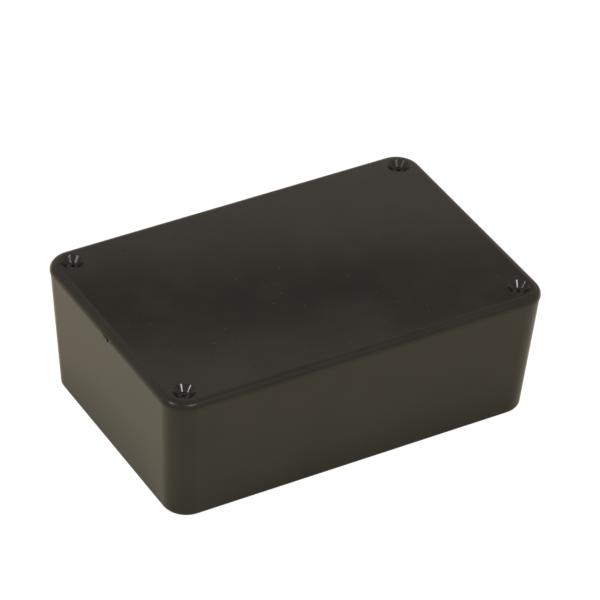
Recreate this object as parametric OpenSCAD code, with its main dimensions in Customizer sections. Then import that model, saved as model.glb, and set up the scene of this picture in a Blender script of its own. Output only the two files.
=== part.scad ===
// Black plastic project box: a deep tray that tapers towards its foot, and a flat lid held
// by four countersunk self-tapping screws driven into posts in the corners.
// Millimetres. The origin is at the middle of the foot, +X runs along the length, +Z is up.

/* [Box] */
// Length of the lid, the longest size of the box
box_l = 150; // [110:1:220]
// Width of the lid
box_w = 100; // [75:1:160]
// Height from the foot to the face of the lid
box_h = 52; // [36:1:90]
// Radius of the lid's corners in plan
corner_r = 9.25; // [8:0.25:14]
// How far each side leans in from the rim down to the foot
side_lean = 3; // [1:0.1:4.5]

/* [Tray] */
// Thickness of the side walls at the rim
wall_t = 2.2; // [1.6:0.1:3]
// Thickness of the floor
floor_t = 2.2; // [1.6:0.1:3.5]
// Radius round the outside of the foot
foot_r = 2; // [0.8:0.1:2.5]
// Bevel where the walls meet the floor inside
inner_bevel = 1.2; // [0.4:0.1:2]
// Small bevel round the outer edge of the rim
rim_bevel = 0.25; // [0.1:0.05:0.5]

/* [Lid] */
// Thickness of the lid at its edge
lid_t = 3.2; // [2.6:0.1:4]
// Radius of the lid's upper edge
lid_edge_r = 3; // [0.8:0.1:3.6]
// How far the lid stands out beyond the rim of the tray
lid_overhang = 0.25; // [0.1:0.05:0.6]
// Thickness of the lip that drops inside the rim
lip_t = 1.5; // [1:0.1:2.5]
// Depth of that lip below the lid
lip_h = 2.5; // [1:0.1:5]
// Play between the lip and whatever is beside it
lip_play = 0.3; // [0.15:0.05:0.6]
// Width of the moulding gate's stub on the left end of the lid
gate_w = 3; // [2:0.5:8]
// How far the stub stands out from the lid's edge
gate_proud = 0.3; // [0.2:0.1:0.8]
// Height of the stub
gate_h = 1.2; // [0.8:0.1:2]
// How far the stub hangs below the lid, past the rim
gate_drop = 0.4; // [0.1:0.05:0.6]

/* [Screws] */
// Distance of each screw from the lid's edges
screw_inset = 8.3; // [7.8:0.1:10]
// Largest diameter of a screw's countersunk head
head_d = 4.2; // [3.6:0.1:4.8]
// Height of the straight rim round the head
head_rim = 0.2; // [0.1:0.05:0.4]
// Play under the head's cone
head_play = 0.03; // [0.02:0.01:0.1]
// Diameter of a screw's shank under the thread
shank_d = 1.6; // [1.4:0.1:1.7]
// Length of a screw from the top of its head to its tip
screw_l = 9.5; // [6.5:0.5:12]
// Size across the wings of the cross recess at its mouth
recess_w = 2; // [1.4:0.1:2.6]
// Size across the wings at the recess's floor
recess_floor_w = 0.8; // [0.6:0.1:1.2]
// Width of each wing
recess_slot = 0.5; // [0.3:0.1:0.6]
// Depth of the cross recess
recess_h = 1.1; // [0.6:0.1:1.3]

/* [Screw holes] */
// Diameter of the countersink at the face of the lid
sink_d = 8.3; // [7:0.1:8.8]
// Diameter of the plain hole below the countersink
clear_d = 2.6; // [2.3:0.1:3.4]
// Diameter of the corner posts
post_d = 7.4; // [6:0.1:8.4]
// Thickness of the webs that join each post to the two walls beside it
web_t = 1.6; // [1:0.1:2.4]
// Diameter of the pilot bore in each post
pilot_d = 1.8; // [1.75:0.05:2.2]
// Depth of the pilot bore below the rim
pilot_h = 12; // [11:0.5:20]

/* [Board guides] */
// Spacing of the guides along the walls
guide_pitch = 10; // [7:0.5:15]
// Thickness of a circuit board that slides between two ribs
board_t = 1.6; // [1:0.1:2.4]
// Play of the board between its ribs
board_play = 0.3; // [0.1:0.05:0.6]
// Thickness of each rib
rib_t = 1; // [0.8:0.1:1.6]
// How far the ribs stand out from the wall at the rim
rib_proud = 1.5; // [1:0.1:2.5]
// How far below the lid's lip the ribs and the posts' webs stop
rib_gap = 0.8; // [0.3:0.1:2]

/* [Floor pads] */
// Diameter of the four pads that a board can be screwed to
pad_d = 6; // [5:0.5:8]
// Height of the pads above the floor
pad_h = 4; // [2:0.5:8]
// Diameter of the bore in each pad
pad_bore_d = 2.5; // [2:0.1:3]
// Spacing of the pads along the box
pad_span_l = 90; // [50:1:100]
// Spacing of the pads across the box
pad_span_w = 50; // [30:1:56]

/* [Hidden] */
$fn = 96;
EPS = 0.01;

PLASTIC = "#35322d";
STEEL = "#2b2b2c";

// The tray: its rim is inset from the lid by the overhang.
rim_z = box_h - lid_t;
rim_l = box_l - 2 * lid_overhang;
rim_w = box_w - 2 * lid_overhang;
rim_r = corner_r - lid_overhang;
lean_slope = side_lean / rim_z;

// The cavity: inset from the rim by the wall, with the same lean and a smaller corner.
cavity_l = rim_l - 2 * wall_t;
cavity_w = rim_w - 2 * wall_t;
cavity_r = rim_r - wall_t;

// The rounding of the lid's upper edge leaves a plain strip under it, however thin the lid.
edge_r = min(lid_edge_r, lid_t - 0.2);

// Screws and their holes share these places and heights.
screw_x = box_l / 2 - screw_inset;
screw_y = box_w / 2 - screw_inset;
cone_top_z = box_h - (sink_d - head_d) / 2 + head_play;
head_top_z = cone_top_z + head_rim;
head_cone_h = (head_d - shank_d) / 2;
tip_h = shank_d * 0.7;

// Guides: as many whole pitches as fit between the posts.
post_clear = screw_inset + post_d / 2 + guide_pitch / 2;
slots_l = floor((box_l - 2 * post_clear) / guide_pitch);
slots_w = floor((box_w - 2 * post_clear) / guide_pitch);
slot_w = board_t + board_play;
guide_top_z = rim_z - lip_h - rib_gap;

// Carries a half section round a rectangle whose corners have radius r, and fills its middle.
module carried_round(l, w, r, h) {
    for (x = [-1, 1], y = [-1, 1])
        translate([x * (l / 2 - r), y * (w / 2 - r), 0])
            rotate_extrude() children();
    across(l - 2 * r, w - 2 * r, h) children();
    rotate(90) across(w - 2 * r, l - 2 * r, h) children();
}

// One straight run of the same section, with both of its edges: it is run long and its
// middle is gap wide.
module across(run, gap, h) {
    rotate([90, 0, 90]) linear_extrude(run, center = true) {
        for (side = [0, 1]) mirror([side, 0]) translate([gap / 2, 0]) children();
        translate([-gap / 2 - EPS, 0]) square([gap + 2 * EPS, h]);
    }
}

// Copies a child to the four screws' places.
module at_screws() {
    for (x = [-1, 1], y = [-1, 1]) translate([x * screw_x, y * screw_y, 0]) children();
}

// The posts reach the rim. Each has a web to the end wall and one to the side wall, which
// stop below the lid's lip.
module posts() {
    at_screws() cylinder(d = post_d, h = box_h);
    for (x = [-1, 1], y = [-1, 1]) {
        translate([x * (screw_x + screw_inset / 2), y * screw_y, guide_top_z / 2])
            cube([screw_inset, web_t, guide_top_z], center = true);
        translate([x * screw_x, y * (screw_y + screw_inset / 2), guide_top_z / 2])
            cube([web_t, screw_inset, guide_top_z], center = true);
    }
}

// A block that reaches past the tray above and below, l by w at the level of the rim. Its
// sides lean in towards the foot, and its corners keep the radius r all the way down: each
// is a leaning cylinder that touches both sides along a line.
module leaning_block(l, w, r) {
    steep = sqrt(1 + lean_slope ^ 2);
    leaning_frustum(l, w - 2 * r / steep);
    leaning_frustum(l - 2 * r / steep, w);
    for (x = [-1, 1], y = [-1, 1])
        translate([x * (l / 2 - r * steep), y * (w / 2 - r * steep), rim_z])
            rotate([0, atan(lean_slope * sqrt(2)), atan2(y, x)])
                cylinder(r = r, h = 4 * rim_z, center = true);
}

module leaning_frustum(l, w) {
    intersection() {
        rotate([90, 0, 0]) linear_extrude(2 * w, center = true) leaning_sides(l);
        rotate([90, 0, 90]) linear_extrude(2 * l, center = true) leaning_sides(w);
    }
}

// Both leaning sides of a block that is span wide at the level of the rim.
module leaning_sides(span) {
    low = span / 2 - side_lean - lean_slope;
    top = span / 2 + lean_slope;
    polygon([[-low, -1], [low, -1], [top, rim_z + 1], [-top, rim_z + 1]]);
}

// Half section that rounds the foot in six short bevels, with x measured out from a corner's
// centre. It stands a fiftieth of foot_r past the sides, which cross it there, and then flares.
module foot_section() {
    out = rim_r + foot_r / 50;
    flare = side_lean + 1;
    polygon([
        [0, 0],
        for (turn = [0 : 14 : 84])
            [out - foot_r + foot_r * sin(turn), foot_r - foot_r * cos(turn)],
        [out + flare, foot_r + flare], [out + flare, rim_z + 2], [0, rim_z + 2]
    ]);
}

// Half section that bevels the rim; it starts below the foot.
module rim_section() {
    top = rim_z + 1;
    polygon([
        [0, 0], [rim_r + foot_r, 0], [rim_r + foot_r, top - rim_bevel - foot_r],
        [rim_r - rim_bevel, top], [0, top]
    ]);
}

module tray_outside() {
    foot_in = 2 * lean_slope * (rim_z - foot_r);
    intersection() {
        leaning_block(rim_l, rim_w, rim_r);
        carried_round(rim_l - foot_in, rim_w - foot_in, rim_r, rim_z + 2) foot_section();
        translate([0, 0, -1]) carried_round(rim_l, rim_w, rim_r, rim_z + 1) rim_section();
    }
}

// Half section that bevels the edge of the cavity's floor.
module floor_section() {
    flare = side_lean + 1;
    polygon([
        [0, 0], [cavity_r - inner_bevel, 0], [cavity_r + flare, inner_bevel + flare],
        [cavity_r + flare, rim_z], [0, rim_z]
    ]);
}

module tray_cavity() {
    floor_in = 2 * lean_slope * (rim_z - floor_t);
    intersection() {
        leaning_block(cavity_l, cavity_w, cavity_r);
        translate([0, 0, floor_t])
            carried_round(cavity_l - floor_in, cavity_w - floor_in, cavity_r, rim_z)
                floor_section();
    }
}

// Flat plate with rounded corners.
module slab(l, w, r, h) {
    carried_round(l, w, r, h) square([r, h]);
}

// Two ribs that stand on a wall and take the edge of a board between them; the wall is at
// x = 0 at the rim and leans the same way.
module guide(top_z) {
    low_z = floor_t - EPS;
    lean_low = lean_slope * (rim_z - low_z);
    lean_top = lean_slope * (rim_z - top_z);
    for (side = [-1, 1])
        translate([0, side * (slot_w + rib_t) / 2, 0])
            rotate([90, 0, 0]) linear_extrude(rib_t, center = true) polygon([
                [lean_low - wall_t / 2, low_z], [lean_low + rib_proud, low_z],
                [lean_top + rib_proud, top_z - rib_proud], [lean_top, top_z],
                [lean_top - wall_t / 2, top_z]
            ]);
}

module guides() {
    for (side = [0, 180]) rotate(side) {
        for (i = [0 : slots_w])
            translate([-cavity_l / 2, (i - slots_w / 2) * guide_pitch, 0]) guide(guide_top_z);
        for (i = [0 : slots_l])
            translate([(i - slots_l / 2) * guide_pitch, -cavity_w / 2, 0])
                rotate(90) guide(guide_top_z);
    }
}

module floor_pads() {
    for (x = [-1, 1], y = [-1, 1])
        translate([x * pad_span_l / 2, y * pad_span_w / 2, floor_t - EPS])
            difference() {
                cylinder(d = pad_d, h = pad_h + EPS);
                translate([0, 0, EPS]) cylinder(d = pad_bore_d, h = pad_h + 1);
            }
}

// The room inside the tray: the cavity, less the posts that stand in its corners.
module tray_hollow() {
    difference() {
        tray_cavity();
        posts();
    }
}

module tray() {
    color(PLASTIC) difference() {
        union() {
            difference() {
                tray_outside();
                tray_hollow();
            }
            guides();
            floor_pads();
        }
        at_screws() translate([0, 0, rim_z - pilot_h])
            cylinder(d = pilot_d, h = pilot_h + 1);
    }
}

// Half section of the lid: a plain edge, rounded at the top.
module lid_section() {
    square([corner_r - edge_r, lid_t]);
    square([corner_r, lid_t - edge_r]);
    intersection() {
        translate([corner_r - edge_r, lid_t - edge_r]) circle(r = edge_r);
        square([corner_r, lid_t]);
    }
}

// The lip follows the cavity's outline and is broken at the posts.
module lip() {
    out_l = cavity_l - 2 * lip_play - 2 * lean_slope * lip_h;
    out_w = cavity_w - 2 * lip_play - 2 * lean_slope * lip_h;
    out_r = cavity_r - lip_play;
    translate([0, 0, rim_z - lip_h]) difference() {
        slab(out_l, out_w, out_r, lip_h + EPS);
        translate([0, 0, -1])
            slab(out_l - 2 * lip_t, out_w - 2 * lip_t, max(out_r - lip_t, 0.5), lip_h + 2);
        at_screws() translate([0, 0, -1])
            cylinder(d = post_d + 2 * lip_play, h = lip_h + 1);
    }
}

module countersunk_hole() {
    cone_h = (sink_d - clear_d) / 2;
    translate([0, 0, rim_z - lip_h - 1]) cylinder(d = clear_d, h = lid_t + lip_h + 1);
    translate([0, 0, box_h - cone_h])
        cylinder(d1 = clear_d, d2 = sink_d + 2, h = cone_h + 1);
}

// The stub is rooted in the part of the lid that overhangs, so that it hangs clear of the rim.
module gate_stub() {
    translate([-box_l / 2 - gate_proud, -gate_w / 2, rim_z - gate_drop])
        cube([gate_proud + lid_overhang / 2, gate_w, gate_h]);
}

module lid() {
    color(PLASTIC) difference() {
        union() {
            translate([0, 0, rim_z]) carried_round(box_l, box_w, corner_r, lid_t) lid_section();
            lip();
            gate_stub();
        }
        at_screws() countersunk_hole();
    }
}

// Countersunk screw with a cross recess; the thread's ridge is too fine to be here.
module screw(x, y) {
    tip_z = head_top_z - screw_l;
    color(STEEL) translate([x * screw_x, y * screw_y, 0]) difference() {
        rotate_extrude() polygon([
            [0, tip_z], [shank_d / 2, tip_z + tip_h],
            [shank_d / 2, cone_top_z - head_cone_h], [head_d / 2, cone_top_z],
            [head_d / 2, head_top_z], [0, head_top_z]
        ]);
        translate([0, 0, head_top_z]) cross_recess();
    }
}

// Two crossed wings that narrow towards the floor of the recess.
module cross_recess() {
    for (turn = [0, 90]) rotate([90, 0, turn])
        linear_extrude(recess_slot, center = true) polygon([
            [-recess_floor_w / 2, -recess_h], [recess_floor_w / 2, -recess_h],
            [recess_w / 2, 0], [recess_w / 2, 1], [-recess_w / 2, 1], [-recess_w / 2, 0]
        ]);
}

tray();
lid();
screw(-1, -1);  // screw_front_left
screw(1, -1);  // screw_front_right
screw(-1, 1);  // screw_rear_left
screw(1, 1);  // screw_rear_right
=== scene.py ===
import math

import bpy
import numpy as np
from mathutils import Matrix, Vector


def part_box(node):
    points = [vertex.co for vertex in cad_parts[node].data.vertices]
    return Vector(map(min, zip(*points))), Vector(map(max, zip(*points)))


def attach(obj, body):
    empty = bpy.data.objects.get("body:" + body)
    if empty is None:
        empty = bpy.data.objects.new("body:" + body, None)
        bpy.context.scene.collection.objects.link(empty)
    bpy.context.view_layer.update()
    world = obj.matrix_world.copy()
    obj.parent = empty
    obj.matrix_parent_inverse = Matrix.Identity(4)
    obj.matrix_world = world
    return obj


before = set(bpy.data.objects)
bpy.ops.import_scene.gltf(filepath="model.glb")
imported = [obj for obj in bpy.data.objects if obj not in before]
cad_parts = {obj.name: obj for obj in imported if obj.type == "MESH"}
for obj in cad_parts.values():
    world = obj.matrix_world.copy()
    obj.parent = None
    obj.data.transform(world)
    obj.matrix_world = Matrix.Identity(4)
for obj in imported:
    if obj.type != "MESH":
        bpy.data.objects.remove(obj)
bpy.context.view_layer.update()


# --- Camera -----------------------------------------------------------------------------------
# A long lens stands well back from the box and looks down on the lid over its near left corner.
# It leans a little to one side, as a camera held in the hand does.

MM = 0.001
camera_turn = math.radians(-31.0)
camera_height = math.radians(36.41)
camera_lean = math.radians(2.61)
camera_distance = 1.486
camera_lens = 251.2
camera_film = 36
aim = Vector((4.66, 3.82, 36.65)) * MM


def direction(turn, height):
    """The way to a place that is turned so far round from the front and so far up, in radians."""
    level_part = math.cos(height)
    return Vector((
        math.sin(turn) * level_part, -math.cos(turn) * level_part, math.sin(height),
    ))


backwards = direction(camera_turn, camera_height)
level = Vector((0, 0, 1)).cross(backwards).normalized()
upright = backwards.cross(level)
rightwards = math.cos(camera_lean) * level + math.sin(camera_lean) * upright
upwards = math.cos(camera_lean) * upright - math.sin(camera_lean) * level

camera = bpy.data.objects.new("camera", bpy.data.cameras.new("camera"))
camera.data.lens = camera_lens
camera.data.sensor_width = camera_film
camera.data.clip_end = 20
stand = Matrix((rightwards, upwards, backwards)).transposed().to_4x4()
camera.matrix_world = Matrix.Translation(aim + camera_distance * backwards) @ stand
bpy.context.collection.objects.link(camera)
bpy.context.scene.camera = camera
bpy.context.scene.view_settings.view_transform = "Standard"


# --- Paper ------------------------------------------------------------------------------------
# The box stands on a wide sheet of cream paper that runs on past everything in view. It is lit
# so that it looks white from above, and the sides of the box mirror its warm tone.

paper_reach = 6.0
paper_drop = 0.05 * MM
paper_colour = (0.82, 0.77, 0.63, 1)
paper_white = (1, 1, 1, 1)
paper_cream = (0.82, 0.75, 0.56, 1)
paper_glow = 1.08
glow_seen = 0.90
glow_mirrored = 0.10


class Term:
    """A number that varies over a surface: sums with it add Math nodes to its recipe."""

    def __init__(self, recipe, socket):
        self.recipe = recipe
        self.socket = socket

    def sum(self, operation, *values):
        sockets = dict(enumerate(values))
        return self.recipe.add("Math", {"operation": operation}, sockets)

    def __add__(self, other):
        return self.sum("ADD", self, other)

    def __sub__(self, other):
        return self.sum("SUBTRACT", self, other)

    def __rsub__(self, other):
        return self.sum("SUBTRACT", other, self)

    def __mul__(self, other):
        return self.sum("MULTIPLY", self, other)

    def __truediv__(self, other):
        return self.sum("DIVIDE", self, other)

    def __pow__(self, other):
        return self.sum("POWER", self, other)

    def __abs__(self):
        return self.sum("ABSOLUTE", self)

    __radd__ = __add__
    __rmul__ = __mul__

    def at_least(self, other):
        return self.sum("MAXIMUM", self, other)

    def ramp(self, low, high):
        """0 at low, 1 at high, with a smooth climb between them, and held beyond both."""
        return self.recipe.add(
            "MapRange", {"interpolation_type": "SMOOTHSTEP"},
            {"Value": self, "From Min": low, "From Max": high},
        )


class Recipe:
    """The nodes of one finish, added one after another to its node tree."""

    def __init__(self, tree):
        self.tree = tree
        self.tree.nodes.clear()

    def add(self, kind, settings=None, sockets=None, out=0):
        """A node of that kind: its settings first, then the values or links of its sockets."""
        node = self.tree.nodes.new("ShaderNode" + kind)
        for name, value in (settings or {}).items():
            if name == "stops":
                self.set_stops(node.color_ramp, value)
            else:
                setattr(node, name, value)
        for name, value in (sockets or {}).items():
            if isinstance(value, Term):
                self.tree.links.new(value.socket, node.inputs[name])
            else:
                node.inputs[name].default_value = value
        return Term(self, node.outputs[out]) if node.outputs else node

    @staticmethod
    def set_stops(ramp, stops):
        while len(ramp.elements) > 1:
            ramp.elements.remove(ramp.elements[0])
        ramp.elements[0].position, ramp.elements[0].color = stops[0]
        for position, colour in stops[1:]:
            ramp.elements.new(position).color = colour

    def blend(self, share, first, second):
        """A colour that goes from the first to the second as share goes from 0 to 1."""
        sockets = {"Factor": share, 6: first, 7: second}
        return self.add("Mix", {"data_type": "RGBA"}, sockets, out=2)

    def axes(self, vector):
        """The three parts of a vector."""
        split = self.add("SeparateXYZ", None, {"Vector": vector}).socket.node
        return [Term(self, output) for output in split.outputs]


def new_material(name):
    """An empty material and the recipe for its nodes."""
    material = bpy.data.materials.new(name)
    material.use_nodes = True
    return material, Recipe(material.node_tree)


def cream_paper():
    """Paper that glows as much as each kind of look at it needs, and is clear from beneath."""
    material, paper = new_material("cream_paper")
    seen = paper.add("LightPath", out="Is Camera Ray")
    mirrored = paper.add("LightPath", out="Is Glossy Ray")
    through = paper.add("LightPath", out="Is Transmission Ray")
    lit = paper.add("BsdfDiffuse", None, {"Color": paper_colour})
    tone = paper.blend(seen, paper_cream, paper_white)
    glow = paper.add("Emission", None, {"Color": tone, "Strength": paper_glow})
    share = seen * glow_seen + (mirrored + through) * glow_mirrored
    above = paper.add("MixShader", None, {0: share, 1: lit, 2: glow})
    clear = paper.add("BsdfTransparent")
    beneath = paper.add("NewGeometry", out="Backfacing")
    both = paper.add("MixShader", None, {0: beneath, 1: above, 2: clear})
    paper.add("OutputMaterial", None, {"Surface": both})
    return material


sheet_mesh = bpy.data.meshes.new("floor")
sheet_corners = [(-1, -1), (1, -1), (1, 1), (-1, 1)]
sheet_mesh.from_pydata(
    [(x * paper_reach, y * paper_reach, -paper_drop) for x, y in sheet_corners], [], [(0, 1, 2, 3)],
)
sheet_mesh.materials.append(cream_paper())
sheet = bpy.data.objects.new("floor", sheet_mesh)
bpy.context.collection.objects.link(sheet)


# --- Room and lamps ---------------------------------------------------------------------------
# The room is warm and plain, with one dark band about 36 degrees up, which the lid mirrors.
# Two small lamps, in front and to the left, give the glints, and a wide soft one hangs overhead.

room_floor = (0.45, 0.40, 0.31, 1)
room_wall = (0.60, 0.53, 0.44, 1)
room_dark = (0.04, 0.04, 0.04, 1)
room_ceiling = (0.40, 0.36, 0.30, 1)
band_low = 0.578
band_high = 0.617
band_fade = 0.0075

world = bpy.data.worlds.new("room")
bpy.context.scene.world = world
world.use_nodes = True
room = Recipe(world.node_tree)
height = room.axes(room.add("TexCoord", out="Generated"))[2]
walls = room.add("ValToRGB", {"stops": [
    (0.0, room_floor),
    (band_low, room_wall),
    (band_low + band_fade, room_dark),
    (band_high - band_fade, room_dark),
    (band_high, room_wall),
    (1.0, room_ceiling),
]}, {"Fac": height})
room.add("OutputWorld", None, {
    "Surface": room.add("Background", None, {"Color": walls, "Strength": 1.0}),
})


def lamp(name, turn, height, distance, size, power):
    """A round lamp, so many degrees round from the front and up, that faces the box."""
    towards = direction(math.radians(turn), math.radians(height))
    data = bpy.data.lights.new(name, "AREA")
    data.shape = "DISK"
    data.size = size
    data.energy = power
    light = bpy.data.objects.new(name, data)
    light.location = towards * distance
    light.rotation_euler = towards.to_track_quat("Z", "Y").to_euler()
    bpy.context.collection.objects.link(light)
    return light


lamp("right_lamp", turn=2.0, height=51.5, distance=1.6, size=0.26, power=2.8)
lamp("left_lamp", turn=-93.0, height=45.0, distance=1.6, size=0.25, power=2.6)
overhead = lamp("overhead", turn=-60.0, height=76.0, distance=1.8, size=2.0, power=11.5)
overhead.visible_glossy = False


# --- Tray and lid -----------------------------------------------------------------------------
# Both are moulded in one black plastic, from polished steel that leaves a close satin gloss.
# The tray stands on its foot, and the lid lies on its rim with the lip inside.

lid_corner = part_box("lid")[1]
box_half_l = lid_corner.x
box_half_w = lid_corner.y
face_z = lid_corner.z
rim_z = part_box("tray")[1].z
corner_r = 9.25 * MM
sides_lean_in = 3 * MM
side_lean = sides_lean_in / rim_z

sink_x, sink_y = (sum(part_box("screw_rear_right"), Vector()) / 2).xy
sink_r = 4.2 * MM
pin_x = 46 * MM
pin_y = 31 * MM
pin_r = 3 * MM

plastic_low = (0.0102, 0.0098, 0.0088, 1)
plastic_high = (0.0148, 0.0142, 0.0126, 1)
plastic_worn = (0.040, 0.038, 0.034, 1)
plastic_dust = (0.16, 0.15, 0.13, 1)

# Roughness of the clean skin, and what each mark adds to it.
skin_rough = 0.09
smudge_rough = 0.04
cloud_rough = 0.02
brow_rough = 0.17
wear_rough = 0.12
scratch_rough = 0.10
dust_rough = 0.25
pin_rough = 0.06
sink_rough = 0.14

# How far each thing stands up or lies deep, in mm.
swell_high = 0.03
grain_high = 0.0003
scratch_deep = 0.0010
wear_deep = 0.0010
pin_deep = 0.03


def place_on(finish, stretch=(1, 1, 1), turn=(0, 0, 0)):
    """The place on the piece in metres, turned and stretched for a pattern."""
    place = finish.add("TexCoord", out="Object")
    return finish.add("Mapping", None, {"Vector": place, "Scale": stretch, "Rotation": turn})


def noise(finish, size, detail=2.0, roughness=0.5, **where):
    """Soft random values, from 0 to 1, in patches of about that size in metres."""
    return finish.add("TexNoise", None, {
        "Vector": place_on(finish, **where), "Scale": 1 / size,
        "Detail": detail, "Roughness": roughness,
    })


def slanted(across, along):
    """The length of the slanted side over two others at right angles."""
    return (across * across + along * along) ** 0.5


def edge_depth(across, along, up, lean):
    """How far in from the outline a place lies.

    The outline is a rectangle with round corners, and below the rim it is pulled in by lean for
    each metre down. The depth is the corner's radius less the slanted side over how far the
    place lies past the middle of the round, across and along, and never less than 0.
    """
    pulled = (rim_z - up).at_least(0.0) * lean
    out_l = (abs(across) - (box_half_l - corner_r) + pulled).at_least(0.0)
    out_w = (abs(along) - (box_half_w - corner_r) + pulled).at_least(0.0)
    return corner_r - slanted(out_l, out_w)


def scratches(finish, seed, shift):
    """Hairline rubs in two directions, together in patches: noise stretched into long threads."""
    hair = noise(finish, 0.7 * MM, 1.0, stretch=(1, 0.02, 1), turn=(0, 0, 0.4 + seed))
    rub = noise(finish, 0.9 * MM, 1.0, stretch=(0.03, 1, 1), turn=(0, 0, 1.9 - seed))
    patch = noise(finish, 22 * MM, **shift).ramp(0.50, 0.72)
    return (hair.ramp(0.735, 0.76) + rub.ramp(0.745, 0.77)) * patch


def pin_marks(across, along, up, low, high):
    """1 inside the four round marks of the ejector pins, between two heights, and 0 outside."""
    away = slanted(abs(across) - pin_x, abs(along) - pin_y)
    within = up.ramp(low, low + 0.1 * MM) * (1 - up.ramp(high, high + 0.1 * MM))
    return (1 - away.ramp(pin_r - 0.1 * MM, pin_r + 0.05 * MM)) * within


def dull_sinks(across, along):
    """1 in the countersinks at the rear left, falling to 0 in those at the front right."""
    away = slanted(abs(across) - sink_x, abs(along) - sink_y)
    rearward = (along - 0.35 * across).ramp(-20 * MM, 30 * MM)
    return away.ramp(sink_r + 0.1 * MM, sink_r - 0.1 * MM) * rearward


def black_plastic(name, seed, bow, lean, pin_low, pin_high):
    """Satin black plastic of a moulding whose middle stands out by bow, in mm.

    The height of the skin is swell and grain, less the bow, which grows with the squares of the
    distances from the middle, and less the marks that lie deep.
    """
    material, finish = new_material(name)
    shift = {"turn": (0.3 * seed, 0.2 * seed, 0.7 * seed)}
    across, along, up = finish.axes(place_on(finish))
    edge = edge_depth(across, along, up, lean)

    smudge = noise(finish, 30 * MM, 3.0, 0.6, **shift)
    cloud = noise(finish, 12 * MM, **shift)
    grain = noise(finish, 0.35 * MM, 2.0, 0.6)
    swell = noise(finish, 35 * MM, 1.0, 0.4, **shift)
    scratch = scratches(finish, seed, shift)
    top_face = 1 - (face_z - up).ramp(0.2 * MM, 1.2 * MM)
    dust = noise(finish, 0.8 * MM, 1.0, 0.4, **shift).ramp(0.77, 0.81) * top_face
    brow = edge.ramp(3.4 * MM, 1.4 * MM) * (up - rim_z).ramp(0.4 * MM, 1.6 * MM)
    foot = (1 - up.ramp(0.3 * MM, 1.8 * MM)) * edge.ramp(2.0 * MM, 0.2 * MM)
    nick = noise(finish, 2.2 * MM, 4.0, 0.65, **shift).ramp(0.60, 0.74)
    wear = (brow * 0.15 + foot * 0.6) * nick
    pin = pin_marks(across, along, up, pin_low, pin_high)
    dull = dull_sinks(across, along)

    shade = finish.blend(smudge.ramp(0.35, 0.70), plastic_low, plastic_high)
    shade = finish.blend(wear * 0.5 + scratch * 0.12, shade, plastic_worn)
    shade = finish.blend(dust * 0.35, shade, plastic_dust)
    rough = (
        skin_rough + smudge_rough * smudge + cloud_rough * cloud + brow_rough * brow
        + wear_rough * wear + scratch_rough * scratch + dust_rough * dust
        + pin_rough * pin + sink_rough * dull
    )
    bowed = ((across / box_half_l) ** 2 + (along / box_half_w) ** 2) * bow
    skin = (
        swell * swell_high + grain * grain_high - bowed
        - scratch * scratch_deep - wear * wear_deep - pin * pin_deep
    )
    bump = finish.add("Bump", None, {"Height": skin, "Strength": 1.0, "Distance": MM})
    shader = finish.add("BsdfPrincipled", None, {
        "Base Color": shade, "Roughness": rough, "IOR": 1.5, "Normal": bump,
    })
    finish.add("OutputMaterial", None, {"Surface": shader})
    return material


mouldings = {
    "tray": {"seed": 1, "bow": -0.2, "lean": side_lean, "pin_low": 1.8 * MM, "pin_high": 2.6 * MM},
    "lid": {"seed": 2, "bow": 0.4, "lean": 0.0, "pin_low": 48.0 * MM, "pin_high": 49.3 * MM},
}
for node, moulding in mouldings.items():
    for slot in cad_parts[node].material_slots:
        slot.material = black_plastic(node + "_black_plastic", **moulding)


# --- Screws -----------------------------------------------------------------------------------
# Four self-tapping steel screws, blackened and lightly oiled, are driven below the face of the
# lid. Each has a sharp spaced thread, rolled up out of its shank.

shank_r = 0.8 * MM
tip_h = 1.4 * shank_r
thread_r = 1.1 * MM
thread_pitch = 0.8 * MM
thread_below_head = 2.08 * MM
thread_above_tip = 0.52 * MM
thread_root = 0.06 * MM
steps_a_turn = 28
flank = 0.30
crest = 0.05
steel_low = (0.016, 0.0155, 0.015, 1)
steel_high = (0.060, 0.057, 0.053, 1)


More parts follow.
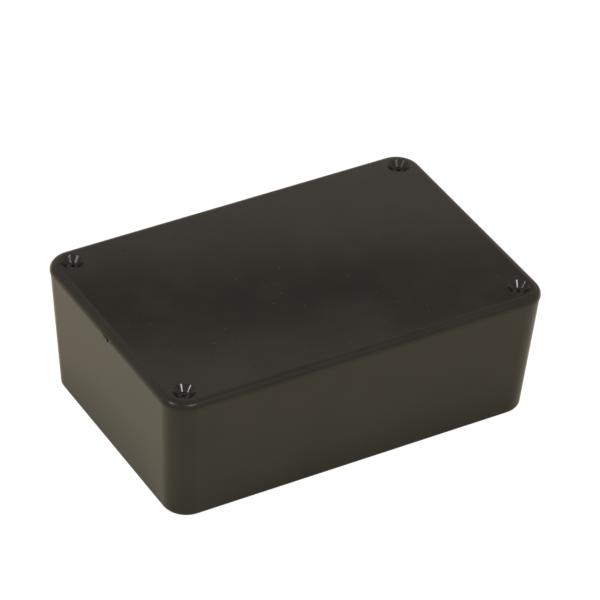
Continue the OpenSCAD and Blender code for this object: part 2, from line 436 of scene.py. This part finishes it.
def blackened_steel():
    """Black oxide, worn in fine patches, with a film of oil that smooths parts of it."""
    material, finish = new_material("blackened_steel")
    worn = noise(finish, 0.9 * MM, 3.0, 0.6)
    oil = noise(finish, 2.5 * MM).ramp(0.5, 0.7)
    shade = finish.blend(worn.ramp(0.45, 0.72), steel_low, steel_high)
    rough = 0.20 + 0.16 * worn - 0.08 * oil
    bump = finish.add("Bump", None, {"Height": worn, "Strength": 0.6, "Distance": 0.04 * MM})
    shader = finish.add("BsdfPrincipled", None, {
        "Base Color": shade, "Metallic": 0.5, "Roughness": rough, "Normal": bump,
    })
    finish.add("OutputMaterial", None, {"Surface": shader})
    return material


def thread_ridge(name, screw, steel):
    """One ridge that winds round a screw's shank.

    Along the ridge the angle grows evenly while the height falls by one pitch a turn. Across
    it, four corners go up one flank, over a narrow crest, down the other flank and back inside
    the shank. The ridge grows out of the shank over the first half turn, and its last turns
    follow the cone of the tip.
    """
    low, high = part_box(screw)
    x, y = ((low + high) / 2).xy
    top = high.z - thread_below_head
    fall = top - low.z - thread_above_tip
    turns = fall / thread_pitch
    steps = int(turns * steps_a_turn) + 1

    part = np.linspace(0, 1, steps)[:, None]
    angle = part * turns * 2 * np.pi
    middle = top - part * fall
    core = np.minimum(shank_r, shank_r * (middle - low.z) / tip_h)
    grown = np.clip(part * turns / 0.5, 0, 1) * np.clip((1 - part) * turns / 0.7, 0, 1)
    proud = (thread_r - shank_r) * np.sin(grown * np.pi / 2)
    above = np.array([[-flank, -crest, crest, flank]]) * thread_pitch
    rise = np.array([[0.0, 1.0, 1.0, 0.0]])
    radius = core - thread_root + rise * (proud + thread_root)
    points = np.stack([
        x + radius * np.cos(angle), y + radius * np.sin(angle), middle + above + 0 * radius,
    ], axis=-1).reshape(-1, 3)

    first = np.arange(steps - 1)[:, None] * 4
    here = np.arange(4)[None, :]
    after = (here + 1) % 4
    faces = np.stack([first + here, first + 4 + here, first + 4 + after, first + after], axis=-1)
    start_cap = [3, 2, 1, 0]
    end_cap = [steps * 4 - 4 + corner for corner in range(4)]
    mesh = bpy.data.meshes.new(name)
    mesh.from_pydata(points.tolist(), [], faces.reshape(-1, 4).tolist() + [start_cap, end_cap])
    mesh.materials.append(steel)
    ridge = bpy.data.objects.new(name, mesh)
    bpy.context.collection.objects.link(ridge)
    return ridge


steel = blackened_steel()
for corner in ("front_left", "front_right", "rear_left", "rear_right"):
    screw = "screw_" + corner
    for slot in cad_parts[screw].material_slots:
        slot.material = steel
    ridge = thread_ridge("thread_" + corner, screw, steel)
    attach(ridge, screw)
